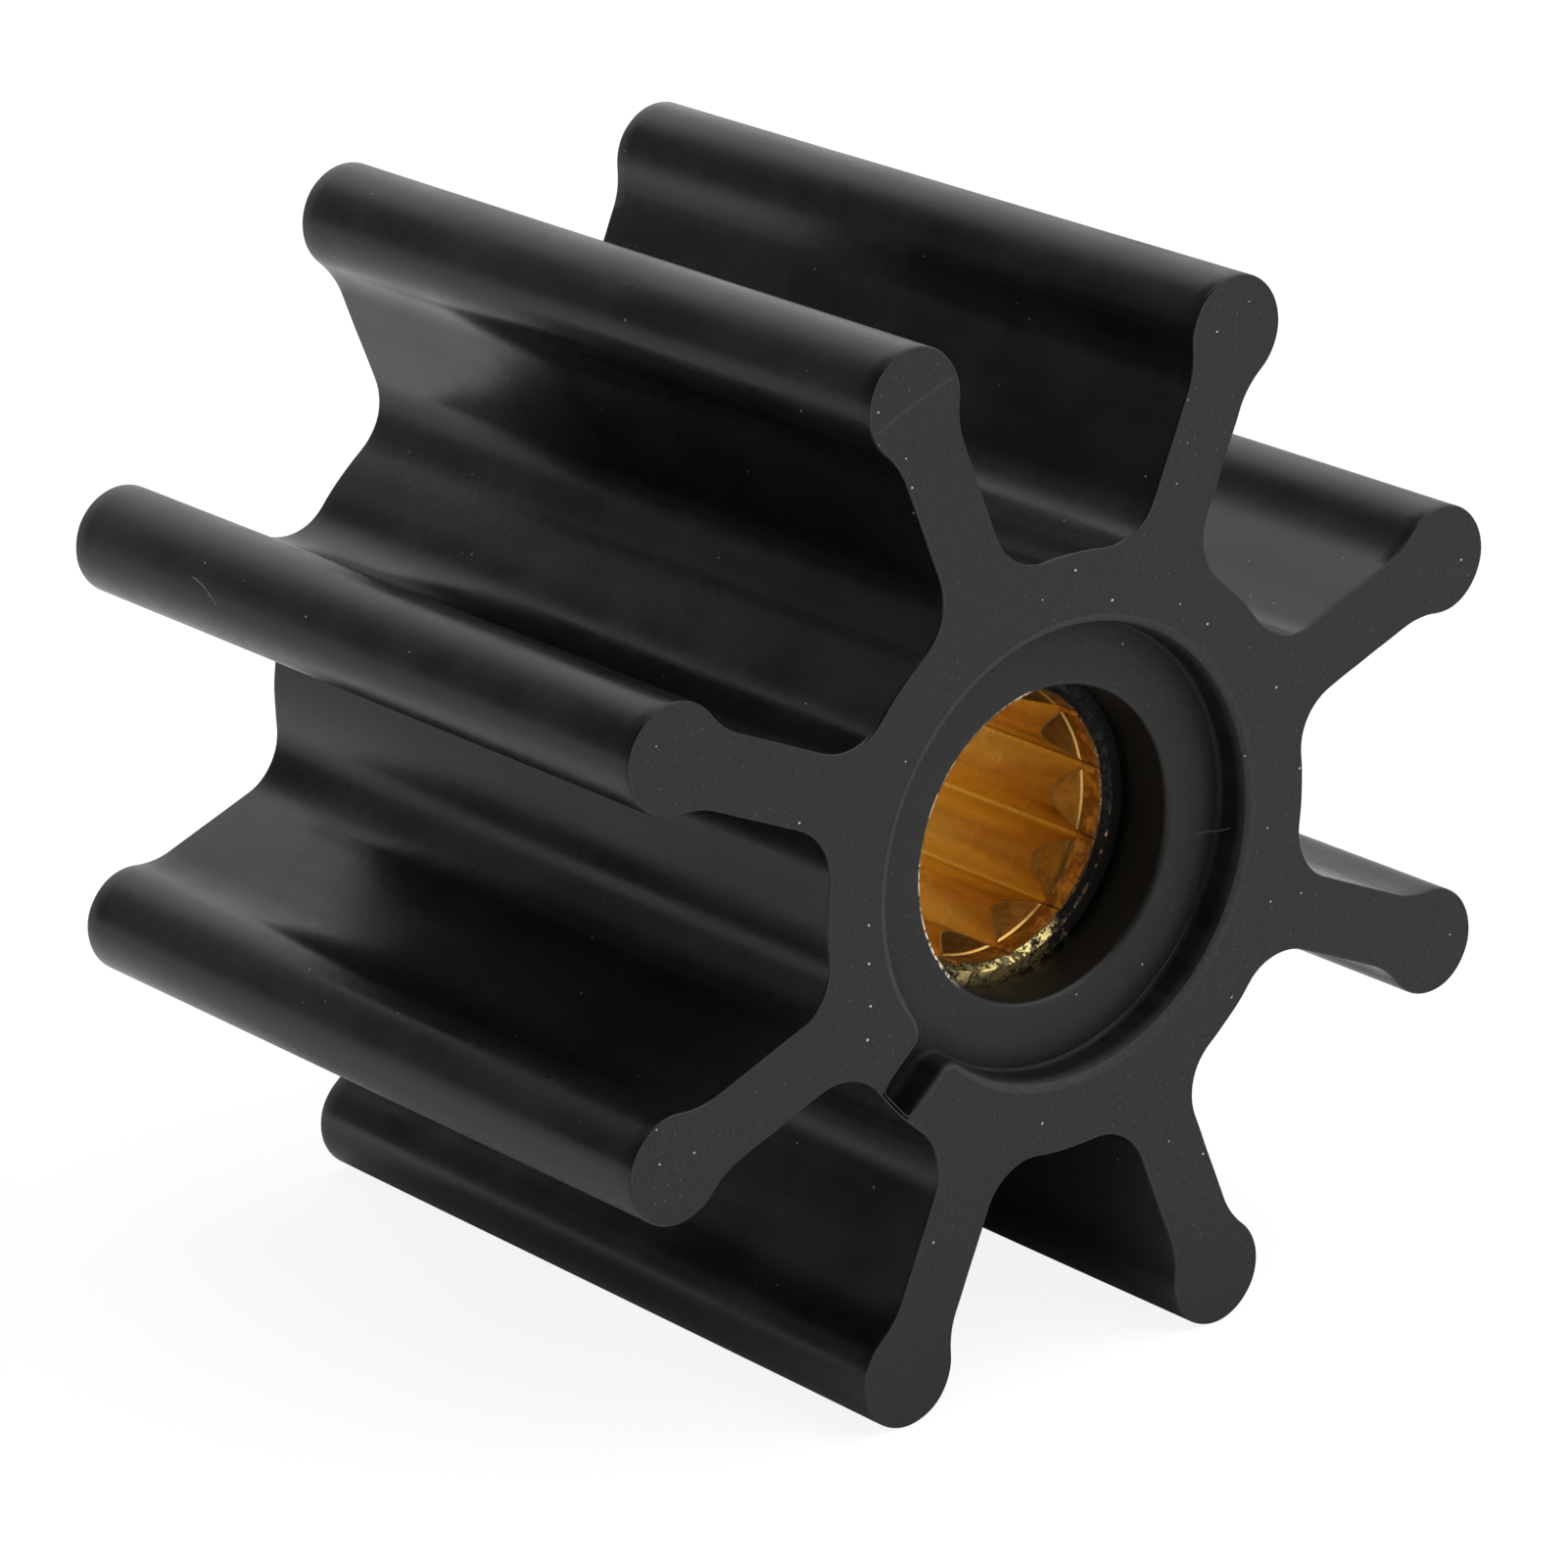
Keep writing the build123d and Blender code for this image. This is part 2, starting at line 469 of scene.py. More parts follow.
def side_rings(shell, points, normals):
    """The rings of the moulded sides, from the front edge to the back edge."""
    radii = edge_rounding(points)
    inset = np.array([wave(x, 0, z) for x, z in points])
    rings = []
    for sine, cosine in quarter(EDGE_STEPS):
        offset = inset + radii * (1 - sine)
        rings.append(shell.ring(points - normals * offset[:, None], FRONT + radii * (1 - cosine)))
    for y in np.linspace(FRONT + ROWS_SETBACK, BACK - ROWS_SETBACK, SIDE_ROWS):
        inset = np.array([wave(x, y - FRONT, z) for x, z in points])
        rings.append(shell.ring(points - normals * inset[:, None], y))
    for sine, cosine in reversed(quarter(EDGE_STEPS)):
        offset = inset + radii * (1 - sine)
        rings.append(shell.ring(points - normals * offset[:, None], BACK - radii * (1 - cosine)))
    return rings


def witness_lines():
    """Points along the fine circular witness line across each bulb."""
    reach = math.degrees(math.asin((BULB_RADIUS - WITNESS_MARGIN) / WITNESS_RADIUS))
    lines = []
    for index in range(VANE_COUNT):
        middle = (index + 0.5) * VANE_PITCH
        for step in (-2, -1, 0, 1, 2):
            radius = WITNESS_RADIUS + step * WITNESS_WIDTH
            lines.append(swept((0, 0), radius, middle - reach, middle + reach, steps=20)[0])
    return lines


def end_face_zone(middle):
    """The end faces are matt, and a little paler along one vane's witness line."""
    on_line = abs(math.hypot(*middle) - WITNESS_RADIUS) < WITNESS_WIDTH
    off_vane = abs(math.degrees(math.atan2(middle[1], middle[0])) - WITNESS_ANGLE)
    return LIP if on_line and off_vane < VANE_PITCH / 2 else FACE


def recess_floor_zone(middle):
    """The recess floor is matt; in the slot it takes the wall's dull black, which is painted
    shade.
    """
    return WALL if math.hypot(*middle) > RECESS_RADIUS else FLOOR


def relief(x, z):
    """How deep the end face lies under its highest level, in millimetres."""
    off_line = (math.hypot(x, z) - WITNESS_RADIUS) / WITNESS_WIDTH
    strength = min(max(0.6 + 0.8 * noise.noise(Vector((x / 4, z / 4, 0))), 0), 1)
    return FACE_SINK - WITNESS_HEIGHT * strength * math.exp(-off_line * off_line)


def press_faces(shell):
    """Gives the end faces their raised witness line."""
    near = 0.001
    for i, (x, y, z) in enumerate(shell.vertices):
        if abs(y - FRONT) < near:
            shell.vertices[i] = (x, y + relief(x, z), z)
        elif abs(y - BACK) < near:
            shell.vertices[i] = (x, y - relief(x, z), z)


def recess_rings(shell):
    """The recess from its rounded lip down to a fine flash round its floor."""
    points, normals, lip = recess_outline()
    rings = []
    for sine, cosine in quarter(LIP_STEPS):
        offset = lip * (1 - sine)
        rings.append(shell.ring(points + normals * offset[:, None], FRONT + lip * (1 - cosine)))
    wall_end = RECESS_DEPTH - FLASH_HEIGHT
    for share in (0.33, 0.67, 1.0):
        rings.append(shell.ring(points, FRONT + lip + (wall_end - lip) * share))
    uneven = np.array([noise.noise(Vector((x, z, 1.5))) for x, z in points])
    heights = FLASH_HEIGHT * (1 + 0.5 * uneven)
    for sine, cosine in quarter(FLASH_STEPS)[1:]:
        inward = points - normals * FLASH_WIDTH * sine
        rings.append(shell.ring(inward, FRONT + RECESS_DEPTH - heights * cosine))
    return rings


def passage_rings(shell, edge, into):
    """The rounded edge of the passage at one end, of changing radius; into is +1 or -1 along Y."""
    points, away = circle_outline(PASSAGE_RADIUS)
    turn = math.radians(PASSAGE_EDGE_ANGLE)
    towards = away @ np.array([math.cos(turn), math.sin(turn)])
    radii = PASSAGE_EDGE + PASSAGE_EDGE_CHANGE * towards
    rings = []
    for sine, cosine in quarter(PASSAGE_EDGE_STEPS):
        around = points + away * (radii * (1 - sine))[:, None]
        rings.append(shell.ring(around, edge + into * radii * (1 - cosine)))
    return rings


def rubber_body(materials):
    """The moulded rubber body as one closed mesh."""
    shell = Shell()
    points, normals = body_outline()
    sides = side_rings(shell, points, normals)
    shell.band(sides, SIDE)

    recess = recess_rings(shell)
    flash_start = len(recess) - FLASH_STEPS
    shell.band(recess[:FLAT_LIP_STEPS + 1], FACE)
    # The lip's turned steps take paler rubber, a painted highlight
    shell.band(recess[FLAT_LIP_STEPS:PAINTED_LIT_LIP_STEPS + 1], LIP)
    shell.band(recess[PAINTED_LIT_LIP_STEPS:flash_start + 1], WALL)
    shell.band(recess[flash_start:], FLASH)
    shell.fill(sides[0], recess[0], end_face_zone, witness_lines())

    floor = FRONT + RECESS_DEPTH
    front_passage = passage_rings(shell, floor, 1)
    shell.fill(recess[-1], front_passage[0], recess_floor_zone)
    start = floor + PASSAGE_EDGE + PASSAGE_EDGE_CHANGE
    for share in (0.0, 0.25, 0.5, 0.75, 1.0):
        radius = PASSAGE_RADIUS + (PASSAGE_END_RADIUS - PASSAGE_RADIUS) * share
        y = start + (INSERT_FRONT - start) * share
        front_passage.append(shell.ring(circle_outline(radius)[0], y))
    seat_front = shell.ring(circle_outline(INSERT_RADIUS)[0], INSERT_FRONT)
    seat_back = shell.ring(circle_outline(INSERT_RADIUS)[0], INSERT_BACK)
    back_passage = passage_rings(shell, BACK, -1)
    back_passage.append(shell.ring(circle_outline(PASSAGE_END_RADIUS)[0], INSERT_BACK))
    shell.band(front_passage[:PASSAGE_EDGE_STEPS + 1], RIM)
    shell.band(front_passage[PASSAGE_EDGE_STEPS:], PASSAGE)
    shell.band([front_passage[-1], seat_front, seat_back, back_passage[-1]], PASSAGE)
    shell.band(back_passage, PASSAGE)
    shell.fill(sides[-1], back_passage[0], end_face_zone, witness_lines())
    press_faces(shell)

    piece = shell.finish("impeller_rubber_body", materials)
    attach(piece, "root")
    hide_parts("rubber_body")


def fine_line(name, spots, half_width, material):
    """A thin, flat, closed tube along spots, each a place and the way up from the surface
    there. It narrows at its ends."""
    flatness = 0.6
    end_share = 0.3
    count = 8
    shell = Shell()
    rings = []
    last = len(spots) - 1
    for index, (middle, up) in enumerate(spots):
        ahead = spots[min(index + 1, last)][0] - spots[max(index - 1, 0)][0]
        side = ahead.cross(up).normalized()
        half = half_width * (end_share if index in (0, last) else 1.0)
        start = len(shell.vertices)
        for turn in np.arange(count) * 2 * math.pi / count:
            spot = middle + (up * math.cos(turn) * flatness + side * math.sin(turn)) * half
            shell.vertices.append(tuple(spot))
        rings.append(list(range(start, start + count)))
    shell.band(rings, 0)
    for ring in (rings[0], rings[-1]):
        shell.faces.append(tuple(ring))
        shell.zones.append(0)
    piece = shell.finish(name, [material])
    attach(piece, "root")


def outward(degrees):
    """The direction away from the shaft axis at an angle of the end view."""
    angle = math.radians(degrees)
    return Vector((math.cos(angle), 0, math.sin(angle)))


def mould_mark(material):
    """A fine raised line across the recess floor and up its wall."""
    floor = FRONT + RECESS_DEPTH
    radii_and_angles = ((11.06, -9.55), (11.5, -9.2), (11.93, -8.97), (12.3, -8.85))
    heights_and_angles = ((0.1, -8.8), (0.6, -7.9), (1.1, -6.8))
    spots = []
    for radius, degrees in radii_and_angles:
        away = outward(degrees)
        spots.append((away * radius + Vector((0, floor, 0)), Vector((0, -1, 0))))
    for height, degrees in heights_and_angles:
        away = outward(degrees)
        spots.append((away * RECESS_RADIUS + Vector((0, floor - height, 0)), -away))
    fine_line("recess_mould_mark", spots, MARK_HALF_WIDTH, material)


def lint_fibre(material):
    """A short fibre that lies on the bulb of the fourth vane, near its back end."""
    centre = outward(3.5 * VANE_PITCH) * BULB_CENTRE
    angles = (160, 161.5, 165.5, 172, 178, 181)
    places = (14.1, 13.3, 12.5, 11.8, 11.3, 10.9)
    spots = []
    for degrees, y in zip(angles, places):
        up = outward(degrees)
        spots.append((centre + up * (BULB_RADIUS - FIBRE_SINK) + Vector((0, y, 0)), up))
    fine_line("lint_fibre", spots, FIBRE_HALF_WIDTH, material)


# The brass insert

def soft_max(a, b, radius):
    """The larger of two values, with a rounded change from one to the other."""
    return 0.5 * (a + b + np.sqrt((a - b) ** 2 + radius**2))


def soft_min(a, b, radius):
    """The smaller of two values, with a rounded change from one to the other."""
    return 0.5 * (a + b - np.sqrt((a - b) ** 2 + radius**2))


def spline_radius(angles):
    """The toothed hole's radius at each angle, in degrees."""
    pitch = 360 / SPLINE_COUNT
    off = np.radians((angles - SPLINE_ANGLE + pitch / 2) % pitch - pitch / 2)
    bottom = (math.sqrt(MAJOR_RADIUS**2 - HALF_GROOVE_BOTTOM**2), HALF_GROOVE_BOTTOM)
    top = (math.sqrt(MINOR_RADIUS**2 - HALF_GROOVE_TOP**2), HALF_GROOVE_TOP)
    normal = np.array([top[1] - bottom[1], bottom[0] - top[0]])
    normal /= np.hypot(*normal)
    distance = normal @ np.array(bottom)
    flank = distance / (normal[0] * np.cos(off) + normal[1] * np.abs(np.sin(off)))
    groove = soft_min(MAJOR_RADIUS, flank, GROOVE_ROUNDING)
    return soft_max(MINOR_RADIUS - TOOTH_TRIM, groove, TOOTH_ROUNDING)


def mouth_radius(depth):
    """The radius of the chamfer, the lead-in, its end step and the cone at a depth."""
    step_start = LEAD_IN_DEPTH - STEP_SLOPE
    cone_end = LEAD_IN_DEPTH + CONE_LENGTH
    depths = (0, MOUTH_CHAMFER, step_start, LEAD_IN_DEPTH, cone_end)
    stepped = LEAD_IN_RADIUS - LEAD_IN_STEP
    radii = (LEAD_IN_RADIUS + MOUTH_CHAMFER, LEAD_IN_RADIUS, LEAD_IN_RADIUS, stepped, MINOR_RADIUS)
    past = max(depth - cone_end, 0)
    flare = MOUTH_FLARE * math.exp(-depth / MOUTH_FLARE_DEPTH)
    return float(np.interp(depth, depths, radii)) - past + flare


def insert_depths():
    """The depths of the rows along the hole, close together in its mouths, and its length."""
    # Each stretch is a start, an end and a step. The front mouth is in view and finer
    mouth = [(0, 0.06, 0.02), (0.06, 0.6, 0.06), (0.6, 1.7, 0.22), (1.7, 2.1, 0.03)]
    ends = []
    for cone_step in (0.05, 0.11):
        stretches = mouth + [(2.1, MOUTH_REACH, cone_step)]
        ends.append(np.concatenate([np.arange(*stretch) for stretch in stretches]))
    front, back = ends
    length = INSERT_BACK - INSERT_FRONT
    middle = np.linspace(MOUTH_REACH, length - MOUTH_REACH, HOLE_ROWS)
    return np.concatenate([front, middle, length - back[::-1]]), length


def splined_insert(materials):
    """The brass bush, whose hole is the larger of the toothed hole and the turned mouths."""
    shell = Shell()
    angles = np.arange(HOLE_POINTS) * 360 / HOLE_POINTS
    away = np.stack([np.cos(np.radians(angles)), np.sin(np.radians(angles))], axis=1)
    teeth = spline_radius(angles)
    depths, length = insert_depths()
    hole = []
    for depth in depths:
        mouth = mouth_radius(min(depth, length - depth))
        radii = soft_max(teeth, mouth, TOOTH_END_ROUNDING)
        hole.append(shell.ring(away * radii[:, None], INSERT_FRONT + depth))
    shell.band(hole, 0)
    front_rim = shell.ring(away * INSERT_RADIUS, INSERT_FRONT)
    back_rim = shell.ring(away * INSERT_RADIUS, INSERT_BACK)
    shell.band([hole[0], front_rim, back_rim, hole[-1]], 0)
    piece = shell.finish("brass_splined_insert", materials, sharp_from=SHARP_TURN)
    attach(piece, "root")
    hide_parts("splined_insert")


# Materials

def add(tree, kind, sockets=None, **settings):
    """Adds a node, with its settings and the values or links of its sockets."""
    made = tree.nodes.new(kind)
    for key, value in settings.items():
        setattr(made, key, value)
    for key, value in (sockets or {}).items():
        if isinstance(value, bpy.types.NodeSocket):
            tree.links.new(value, made.inputs[key])
        else:
            made.inputs[key].default_value = value
    return made


def place(tree, scale):
    """Coordinates of the piece in metres, stretched by a scale along each axis."""
    coordinates = add(tree, "ShaderNodeTexCoord")
    mapping = add(tree, "ShaderNodeMapping", {"Vector": coordinates.outputs["Object"]})
    mapping.inputs["Scale"].default_value = scale
    return mapping.outputs["Vector"]


def grain(tree, waves, detail, roughness, drawn_out=(1, 1, 1)):
    """Noise with so many waves to the metre, drawn out along an axis by a small factor."""
    made = add(tree, "ShaderNodeTexNoise", {"Vector": place(tree, drawn_out)})
    made.inputs["Scale"].default_value = waves
    made.inputs["Detail"].default_value = detail
    made.inputs["Roughness"].default_value = roughness
    return made.outputs["Fac"]


def between(tree, factor, low, high, start=0.0, end=1.0):
    """A value that goes from low to high as a factor goes from start to end."""
    sockets = {"Value": factor, "From Min": start, "From Max": end, "To Min": low, "To Max": high}
    return add(tree, "ShaderNodeMapRange", sockets).outputs["Result"]


def millimetres(tree, value, low, high, start, end):
    """The same as between, for a length in metres and its bounds in millimetres."""
    return between(tree, value, low, high, start * MM, end * MM)


def spread(tree, pattern, low, high):
    """A value from low to high by a noise, whose own values lie mostly from 0.3 to 0.7."""
    return between(tree, pattern, low, high, 0.3, 0.7)


def blended(tree, factor, first, second):
    """Two colours mixed by a factor."""
    made = add(tree, "ShaderNodeMix", data_type="RGBA")
    tree.links.new(factor, made.inputs["Factor"])
    for socket, colour in (("A", first), ("B", second)):
        spot = [s for s in made.inputs if s.name == socket and s.type == "RGBA"][0]
        if isinstance(colour, bpy.types.NodeSocket):
            tree.links.new(colour, spot)
        else:
            spot.default_value = (*colour, 1)
    return [s for s in made.outputs if s.type == "RGBA"][0]


def mottled(tree, pattern, first, second):
    """Two colours mixed by a noise."""
    return blended(tree, between(tree, pattern, 0, 1, 0.35, 0.65), first, second)


def grey(level):
    """A neutral colour."""
    return (level, level, level)


def combined(tree, operation, first, second):
    """One arithmetic step between two values or links."""
    return add(tree, "ShaderNodeMath", {0: first, 1: second}, operation=operation).outputs[0]


def product(tree, *factors):
    """The product of values or links."""
    result = factors[0]
    for factor in factors[1:]:
        result = combined(tree, "MULTIPLY", result, factor)
    return result


def largest(tree, *values):
    """The largest of values or links."""
    result = values[0]
    for value in values[1:]:
        result = combined(tree, "MAXIMUM", result, value)
    return result


def along_stretch(tree, value, rise, fall):
    """1 along a stretch of a length in metres and 0 outside. It rises between one pair of
    places, in millimetres, and falls between another."""
    risen = millimetres(tree, value, 0, 1, *rise)
    return product(tree, risen, millimetres(tree, value, 1, 0, *fall))


def specks(tree, cells_per_metre, size, share, flat=False):
    """Small specks in loose clusters, at most one to a cell. The size is a part of a cell.
    Flat specks lie on faces across the shaft."""
    here = place(tree, (1, 1, 1))
    if flat:
        apart = add(tree, "ShaderNodeSeparateXYZ", {"Vector": here}).outputs
        flattened = add(tree, "ShaderNodeCombineXYZ", {"X": apart["X"], "Y": apart["Z"]})
        here = flattened.outputs["Vector"]
    cells = add(tree, "ShaderNodeTexVoronoi", voronoi_dimensions="2D" if flat else "3D")
    tree.links.new(here, cells.inputs["Vector"])
    cells.inputs["Scale"].default_value = cells_per_metre
    chance = add(tree, "ShaderNodeSeparateColor", {"Color": cells.outputs["Color"]}).outputs
    reach = between(tree, chance["Green"], size * 0.5, size * 1.3)
    near = between(tree, combined(tree, "DIVIDE", cells.outputs["Distance"], reach), 1, 0, 0.5, 1)
    cluster = between(tree, grain(tree, 90, 2, 0.5), 0, 2 * share, 0.42, 0.62)
    chosen = combined(tree, "LESS_THAN", chance["Red"], cluster)
    return product(tree, near, chosen)


def bumped(tree, layers):
    """A normal with bump layers, each a height and its depth in millimetres."""
    normal = None
    for height, depth in layers:
        sockets = {"Height": height, "Strength": 1.0, "Distance": depth * MM}
        made = add(tree, "ShaderNodeBump", sockets)
        if normal is not None:
            tree.links.new(normal, made.inputs["Normal"])
        normal = made.outputs["Normal"]
    return normal


def principled(name):
    """A new material and its shader."""
    material = bpy.data.materials.new(name)
    material.use_nodes = True
    tree = material.node_tree
    return material, tree, tree.nodes["Principled BSDF"]


def wired(tree, shader, colour, roughness, layers, specular=0.5):
    """Gives a shader its colour, roughness, bump layers and specular level."""
    tree.links.new(colour, shader.inputs["Base Color"])
    tree.links.new(roughness, shader.inputs["Roughness"])
    tree.links.new(bumped(tree, layers), shader.inputs["Normal"])
    shader.inputs["Specular IOR Level"].default_value = specular


def direction_and_length(tree, vector):
    """A vector's direction and its length."""
    direction = add(tree, "ShaderNodeVectorMath", {0: vector}, operation="NORMALIZE")
    length = add(tree, "ShaderNodeVectorMath", {0: vector}, operation="LENGTH")
    return direction.outputs["Vector"], length.outputs["Value"]


def across_shaft(tree):
    """The direction and the distance from the shaft axis, across it."""
    here = add(tree, "ShaderNodeSeparateXYZ", {"Vector": place(tree, (1, 1, 1))}).outputs
    across = add(tree, "ShaderNodeCombineXYZ", {"X": here["X"], "Z": here["Z"]}).outputs["Vector"]
    return direction_and_length(tree, across)


def facing(tree, direction, way):
    """How far a direction points a given way, from -1 to 1."""
    made = add(tree, "ShaderNodeVectorMath", {0: direction, 1: way}, operation="DOT_PRODUCT")
    return made.outputs["Value"]


def matt_rubber(name, dark, pale, painted_shade_radii=None):
    """Matt charcoal rubber between two tones, finely mottled, with grey and white specks on it.
    It can take painted shade, darkening outwards between two radii in millimetres."""
    material, tree, shader = principled(name)
    mottle = grain(tree, 220, 4, 0.6)
    fine = grain(tree, 3800, 2, 0.6)
    slow_share = between(tree, mottle, 0, 0.4, 0.35, 0.65)
    both = combined(tree, "ADD", slow_share, spread(tree, fine, 0, 0.6))
    colour = blended(tree, both, dark, pale)
    colour = blended(tree, specks(tree, 1100, 0.06, 0.35, flat=True), colour, grey(0.09))
    colour = blended(tree, specks(tree, 420, 0.032, 0.2, flat=True), colour, grey(0.8))
    # Painted shade: the colour darkens outwards, towards the recess wall
    if painted_shade_radii:
        shade = millimetres(tree, across_shaft(tree)[1], 0, 0.8, *painted_shade_radii)
        colour = blended(tree, shade, colour, grey(0.0))
    rough = spread(tree, mottle, 0.62, 0.74)
    wired(tree, shader, colour, rough, [(fine, 0.04), (mottle, 0.03)])
    return material


def side_rubber():
    """The smooth black of the moulded sides, with soft streaks along the vanes."""
    material, tree, shader = principled("moulded_rubber")
    streak = grain(tree, 420, 3, 0.55, (1, 0.06, 1))
    mottle = grain(tree, 160, 4, 0.6)
    fine = grain(tree, 1800, 2, 0.5)
    colour = mottled(tree, mottle, grey(0.004), grey(0.007))
    colour = blended(tree, specks(tree, 900, 0.06, 0.3), colour, grey(0.3))
    streaked = between(tree, streak, 0.0, 0.08, 0.4, 0.7)
    rough = combined(tree, "ADD", spread(tree, mottle, 0.20, 0.31), streaked)
    wired(tree, shader, colour, rough, [(fine, 0.006), (streak, 0.01)])
    return material


def wall_rubber():
    """The dull black of the recess wall, which on the slot floor is painted shade."""
    material, tree, shader = principled("wall_rubber")
    streak = grain(tree, 900, 3, 0.6, (1, 0.15, 1))
    colour = mottled(tree, streak, grey(0.004), grey(0.009))
    wired(tree, shader, colour, spread(tree, streak, 0.5, 0.65), [(streak, 0.02)], specular=0.35)
    return material


def pale_rubber(name, dark, pale):
    """The smoother, paler surface of a mould mark, or of lint."""
    material, tree, shader = principled(name)
    mottle = grain(tree, 900, 3, 0.6)
    colour = mottled(tree, mottle, dark, pale)
    wired(tree, shader, colour, spread(tree, mottle, 0.4, 0.55), [(mottle, 0.02)])
    return material


def flash_rubber():
    """The flash round the recess floor, with a painted highlight that makes it palest at the
    bottom.
    """
    material, tree, shader = principled("flash_rubber")
    # Painted highlight: paler towards the bottom of the recess
    painted_highlight = between(tree, facing(tree, across_shaft(tree)[0], FLASH_HIGHLIGHT_SIDE), 0, 1, 0.6, 0.95)
    uneven = between(tree, grain(tree, 900, 3, 0.6), 0.6, 1, 0.4, 0.6)
    colour = blended(tree, product(tree, painted_highlight, uneven), grey(0.006), grey(0.055))
    tree.links.new(colour, shader.inputs["Base Color"])
    shader.inputs["Roughness"].default_value = 0.6
    shader.inputs["Specular IOR Level"].default_value = 0.4
    return material


def passage_rubber():
    """The dark passage wall, with an olive brown tinge."""
    material, tree, shader = principled("passage_rubber")
    mottle = grain(tree, 300, 4, 0.6)
    colour = mottled(tree, mottle, (0.006, 0.007, 0.0058), (0.012, 0.012, 0.0085))
    wired(tree, shader, colour, spread(tree, mottle, 0.5, 0.65), [(mottle, 0.03)], specular=0.3)
    return material


def rim_rubber():
    """The passage's rounded edge: dark inside and as pale as the floor outside, partly painted
    shade, and with a broken line of near-white painted glints where it is sharp, on its near side."""
    material, tree, shader = principled("rim_rubber")
    direction, radius = across_shaft(tree)
    # Painted glint: a broken line of near-white, smoother spots on the sharp near side
    glint_side = between(tree, facing(tree, direction, GLINT_SIDE), 0, 1, 0.40, 0.46)
    spots = between(tree, grain(tree, 2600, 3, 0.7), 0, 1, 0.43, 0.5)
    stretches = between(tree, grain(tree, 420, 2, 0.5), 0.15, 1, 0.42, 0.52)
    wear_and_glint = product(tree, spots, stretches, glint_side)
    # Partly painted shade: darker towards the passage, as pale as the floor outside
    on_floor = millimetres(tree, radius, 0, 1, *RIM_SHADE)
    colour = blended(tree, on_floor, (0.006, 0.006, 0.005), grey(0.018))
    colour = blended(tree, wear_and_glint, colour, (0.95, 0.84, 0.62))
    rough = between(tree, on_floor, 0.4, 0.68)
    rough = combined(tree, "SUBTRACT", rough, product(tree, wear_and_glint, 0.15))
    wired(tree, shader, colour, rough, [(wear_and_glint, 0.02)])
    return material


def insert_place(tree):
    """Within the insert: the distances from the axis and from its nearer end, and the share
    of the radius that points up, from -1 at the bottom to 1 at the top."""
    direction, radius = across_shaft(tree)
    along = add(tree, "ShaderNodeSeparateXYZ", {"Vector": place(tree, (1, 1, 1))}).outputs["Y"]
    off_middle = combined(tree, "SUBTRACT", along, INSERT_MIDDLE * MM)
    depth = combined(tree, "SUBTRACT", HALF_INSERT * MM, combined(tree, "ABSOLUTE", off_middle, 0))
    return radius, depth, facing(tree, direction, (0, 0, 1))


def film_and_painted_dark_cover(tree, radius, depth, height):
    """Where a thin rubber film lies on the insert's end, and on over its chamfer, where it is a
    painted dark reflection: outside the hole and not at the bottom, with a broken line trimmed out
    of its lower half."""
    patches = grain(tree, 1500, 3, 0.6)
    uneven = combined(tree, "ADD", radius, spread(tree, patches, -0.03 * MM, 0.03 * MM))
    outside = millimetres(tree, uneven, 0, 1, *FILM_START)
    at_end = millimetres(tree, depth, 1, 0, MOUTH_CHAMFER, 0.5)
    ragged = combined(tree, "ADD", height, spread(tree, patches, -0.12, 0.12))
    not_low = between(tree, ragged, 0, 1, -0.9, -0.87)
    broken = between(tree, patches, 0, 1, 0.52, 0.56)
    lower_half = between(tree, height, 0, 1, -0.05, -0.25)
    trimmed = along_stretch(tree, uneven, *TRIMMED_STRETCH)
    trimmed = product(tree, trimmed, broken, lower_half)
    return product(tree, outside, at_end, not_low, between(tree, trimmed, 1, 0))


